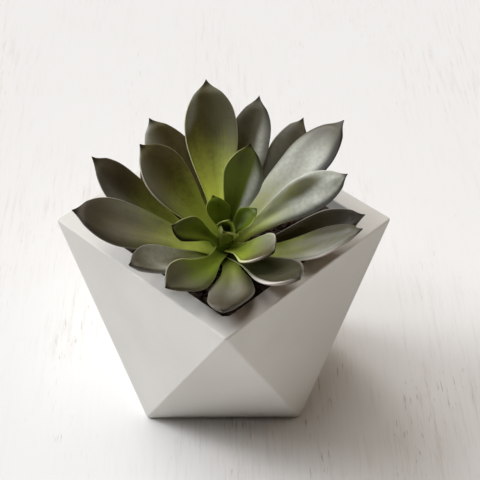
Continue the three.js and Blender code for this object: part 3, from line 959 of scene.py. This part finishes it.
class LeafSkin:
    """The parts of a leaf's skin, and the places and noises that they share. Clouds move every bound
    along the blade a little, so that no bound is straight."""

    def __init__(self, nodes, given, settings):
        self.nodes = nodes
        self.given = given
        self.settings = settings
        blade = nodes.out("ShaderNodeAttribute", output="Vector", attribute_name="blade")
        self.side, self.along, self.face = nodes.coordinates(blade)
        seed = nodes.out("ShaderNodeCombineXYZ", [(i, given["Seed"]) for i in range(3)])
        shifted = nodes.combine("ADD", blade, seed)
        self.clouds = nodes.noise(shifted, **BLADE_CLOUDS)
        self.streaks = nodes.noise(shifted, **BLADE_STREAKS)
        self.mottle = nodes.noise(nodes.place(), **MOTTLE)
        self.blotches = nodes.noise(nodes.place(), **BLOTCHES)
        self.outer = abs(self.side)
        self.drift = (self.clouds - 0.5) * DRIFT
        self.drifted = self.along + self.drift
        before, beyond = given["Flush"] - GREEN_BEFORE, given["Flush"] + GREEN_BEYOND
        self.green = nodes.step(self.drifted, before, beyond, to_low=1.0, to_high=0.0)
        self.dusk = nodes.step(self.drifted + self.outer * POINT_SPREAD, **POINT) * given["Dusk"]

    def flesh(self):
        """Young green at the root, brightened there as a painted glow of light that comes through, then
        olive and brown, with dark streaks, blotches and mottle, a dusky point and a colour of its own
        underneath."""
        nodes, given, settings = self.nodes, self.given, self.settings
        root = nodes.blend(given["Fresh"], settings.green, settings.lime_and_glow)
        grown = nodes.blend(given["Brown"], settings.olive, settings.brown)
        tone = nodes.blend(self.green, grown, root)
        marks = nodes.step(self.streaks, **STREAK_MARKS) + nodes.step(self.blotches, **BLOTCH_MARKS)
        marks = marks + nodes.step(self.mottle, **MOTTLE_MARKS)
        tone = nodes.blend(marks * nodes.step(self.green, **MARKS_ON_GREEN), tone, settings.dark)
        tone = nodes.blend(self.dusk, tone, settings.dusk)
        tone = nodes.blend(given["Deep"] * DEEPEST, tone, settings.dark)
        under = nodes.blend(self.green * GREEN_SHARE, settings.under, tone)
        return nodes.blend(nodes.step(self.face, **BENEATH), tone, under)

    def patch(self):
        """1 inside the patch and 0 outside: an ellipse round its place across and along the blade."""
        across = (self.side + self.drift - self.given["Spot"]) * PATCH_NARROWNESS
        beyond = (self.drifted - self.given["Mid"]) / self.given["Reach"]
        return self.nodes.step(self.nodes.math("SQRT", across**2.0 + beyond**2.0), **PATCH_EDGE)

    def bloom(self):
        """How thick the wax lies, with painted sheen: thin on young green, more on the side of Lean, a
        painted highlight on the side towards the light, worn off in the patch, and where the patch is
        below 0 a painted highlight instead, and gone at the dusky point and underneath."""
        nodes, given, patch = self.nodes, self.given, self.patch()
        rubbed_and_shaded = patch * nodes.math("MAXIMUM", given["Rub"], 0.0)
        thicker_and_sheen = patch * nodes.math("MINIMUM", given["Rub"], 0.0)
        sided = nodes.math("MAXIMUM", self.side * given["Lean"] + 1.0, 0.0) ** 2.0
        cover = given["Bloom"] * nodes.step(self.clouds, **CLOUDED) * (1.0 - self.green * BARE_GREEN)
        cover = cover * sided * (1.0 - rubbed_and_shaded) - thicker_and_sheen
        return cover * nodes.step(self.face, **ABOVE) * nodes.step(self.dusk, **BARE_POINT)

    def with_bloom_and_sheen(self, tone, cover):
        """The tone under the wax and its painted sheen, which blotches and mottle break up."""
        nodes = self.nodes
        broken = nodes.step(self.blotches, **BLOTCHED) * nodes.step(self.mottle, **MOTTLED)
        return nodes.blend(cover * broken, tone, self.settings.bloom)

    def sided(self, amount, bounds):
        """A step across the blade towards the side that the amount's sign says, times its size."""
        return self.nodes.step(self.side * self.nodes.math("SIGN", amount), **bounds) * abs(amount)

    def margins(self, tone):
        """The tone with the pale margin, partly a painted highlight, and the thin painted shade inside it,
        both stronger on the side of Rim, the dark margin on the side of Shade, partly painted shade, and
        the dark tip."""
        nodes, given, settings = self.nodes, self.given, self.settings
        inner = 1.0 - given["Band"]
        chosen = self.sided(given["Rim"], RIM_SIDES)
        # Painted shade: a thin dark band inside the pale margin, the shaded side of the rounded edge.
        edge_shade = nodes.step(self.outer, inner - EDGE_SHADE_WIDTH, inner) * chosen * EDGE_SHADE_DEPTH
        tone = nodes.blend(edge_shade, tone, settings.dark)
        # The pale margin: the leaf's own pale edge, partly a painted highlight where the edge turns
        # towards the light.
        band = nodes.step(self.outer, inner, 1.0 - given["Band"] * FULL_BAND) * chosen
        band = band * nodes.step(self.along, **RIM_FADE) * nodes.step(self.face, **RIM_BELOW)
        tone = nodes.blend(band, tone, nodes.blend(self.green * GREEN_SHARE, settings.rim, settings.lime_and_glow))
        # The dark margin: painted shade on the side away from the light, with the darker underside.
        dim = self.sided(given["Shade"], SHADE_SIDE)
        tone = nodes.blend(dim * nodes.step(self.along, **SHADE_START), tone, settings.dark)
        return nodes.blend(nodes.step(self.along, **DARK_TIP), tone, settings.dark)


def leaf_skin_group(settings):
    """The skin of a leaf as one node group: flesh, bloom and margins by the amounts given, the roughness
    of the waxed surface, and the height of its streaks and mottle."""
    tree, nodes, given, result = new_group(
        "leaf_skin",
        [(label, "NodeSocketFloat") for label in SKIN_AMOUNTS],
        [("Colour", "NodeSocketColor"), ("Roughness", "NodeSocketFloat"), ("Height", "NodeSocketFloat")],
    )
    skin = LeafSkin(nodes, given, settings)
    cover = skin.bloom()
    nodes.feed(result["Colour"], skin.margins(skin.with_bloom_and_sheen(skin.flesh(), cover)))
    nodes.feed(result["Roughness"], nodes.step(cover, **WAX_ROUGHNESS))
    nodes.feed(result["Height"], (skin.streaks + skin.mottle) * 0.5)
    return tree


def leaf_material(name, group, finish, seed):
    """One leaf's material: the skin group with this leaf's own amounts."""
    material, nodes, shader = new_material(
        name, Subsurface_Weight=finish.glow, Subsurface_Radius=GLOW_RADIUS, Subsurface_Scale=GLOW_DEPTH,
        Specular_IOR_Level=finish.gloss,
    )
    skin = nodes.add("ShaderNodeGroup", zip(SKIN_AMOUNTS, (seed, *finish)), node_tree=group).outputs
    nodes.feed(shader["Base Color"], Value(nodes, skin["Colour"]))
    nodes.feed(shader["Roughness"], Value(nodes, skin["Roughness"]))
    nodes.feed(shader["Normal"], nodes.bump(Value(nodes, skin["Height"]), **LEAF_BUMP))
    return material


def stem_surface():
    """The stem as closed rings: its profile, with low rings of old leaf scars that wind round and a rough
    bark, both of which fade towards the top."""
    radius, height = np.array(STEM_PROFILE).T * MILLIMETRE
    steps = np.linspace(height[0], height[-1], STEM_RINGS)[:, None]
    angle = np.linspace(0, 2 * np.pi, STEM_SECTION, endpoint=False)
    scars = np.maximum(np.cos(2 * np.pi * steps / SCAR_PITCH + SCAR_STARTS * angle), SCAR_VALLEY)
    bark = value_noise(polar(BARK_AROUND, angle, steps / BARK_CELL), BARK_SEED)
    fade = smooth((RELIEF_TOP - steps) / RELIEF_FADE)
    reach = np.interp(steps, height, radius) * (1 - STEM_SLIMMING * (1 - fade))
    reach = reach + fade * (SCAR_RELIEF * scars + BARK_RELIEF * bark)
    ends = polar(0.0, 0.0, height[[0, -1]])
    return closed_rings(on_seat(polar(reach, angle, steps)), *on_seat(ends))


class ECHEVERIA_OT_heart(bpy.types.Operator):
    """Builds the stem and the small leaves folded round its growing point"""

    bl_idname = "echeveria.heart"
    bl_label = "Stem and heart"

    def execute(self, context):
        settings = context.scene.echeveria_rosette
        corners, quads, fans = stem_surface()
        stem = mesh_object("stem", corners, [quads, fans], self.finish(settings))
        settle(stem, "heart", "stem_heart")
        group = bpy.data.node_groups.get("leaf_skin") or leaf_skin_group(settings)
        for i, (form, look) in enumerate(HEART_LEAVES, 1):
            material = leaf_material(f"heart_skin_{i}", group, look, HEART_SEED * i)
            settle(leaf_object(f"heart_leaf_{i}", form, material, **HEART_ROOT), "heart", "stem_heart")
        return {"FINISHED"}

    def finish(self, settings):
        """Woody and brown below, green towards the growing point."""
        material, nodes, shader = new_material("stem_bark", Roughness=0.7)
        place = nodes.place()
        grain = nodes.noise(place, **BARK_NOISE)
        bark = nodes.blend(nodes.step(grain, **BARK_MARKS), settings.bark, settings.flakes)
        green = nodes.step(nodes.coordinates(place)[2], *STEM_GREEN)
        nodes.feed(shader["Base Color"], nodes.blend(green, bark, settings.green))
        nodes.feed(shader["Normal"], nodes.bump(grain, **BARK_BUMP))
        return material


class ECHEVERIA_OT_leaves(bpy.types.Operator):
    """Builds the leaves of the rosette"""

    bl_idname = "echeveria.leaves"
    bl_label = "Leaves"

    def execute(self, context):
        settings = context.scene.echeveria_rosette
        group = bpy.data.node_groups.get("leaf_skin") or leaf_skin_group(settings)
        for i, (form, look) in enumerate(LEAVES, 1):
            material = leaf_material(f"leaf_skin_{i:02d}", group, look, LEAF_SEED * i)
            settle(leaf_object(f"blade_{i:02d}", form, material), "leaf", f"leaf_{i:02d}")
        return {"FINISHED"}


STEPS = (
    ("echeveria.stage", "echeveria_stage"),
    ("echeveria.pot", "echeveria_pot"),
    ("echeveria.soil", "echeveria_soil"),
    ("echeveria.heart", "echeveria_rosette"),
    ("echeveria.leaves", "echeveria_rosette"),
)


class ECHEVERIA_PT_panel(bpy.types.Panel):
    """Lists each step with its settings"""

    bl_idname = "ECHEVERIA_PT_panel"
    bl_label = "Potted Echeveria"
    bl_space_type = "VIEW_3D"
    bl_region_type = "UI"
    bl_category = "Echeveria"

    def draw(self, context):
        for operator, group in STEPS:
            box = self.layout.box()
            box.operator(operator)
            settings = getattr(context.scene, group)
            for key in settings.bl_rna.properties.keys():
                if key not in ("rna_type", "name"):
                    box.prop(settings, key)


SETTINGS = {
    "echeveria_stage": StageSettings,
    "echeveria_pot": PotSettings,
    "echeveria_soil": SoilSettings,
    "echeveria_rosette": RosetteSettings,
}
CLASSES = (
    *SETTINGS.values(),
    ECHEVERIA_OT_stage,
    ECHEVERIA_OT_pot,
    ECHEVERIA_OT_soil,
    ECHEVERIA_OT_heart,
    ECHEVERIA_OT_leaves,
    ECHEVERIA_PT_panel,
)


def register():
    for item in CLASSES:
        bpy.utils.register_class(item)
    for name, group in SETTINGS.items():
        setattr(bpy.types.Scene, name, PointerProperty(type=group))


def unregister():
    for name in SETTINGS:
        delattr(bpy.types.Scene, name)
    for item in reversed(CLASSES):
        bpy.utils.unregister_class(item)


def main():
    register()
    bpy.ops.echeveria.stage()
    bpy.ops.echeveria.pot()
    bpy.ops.echeveria.soil()
    bpy.ops.echeveria.heart()
    bpy.ops.echeveria.leaves()


if __name__ == "__main__":
    main()
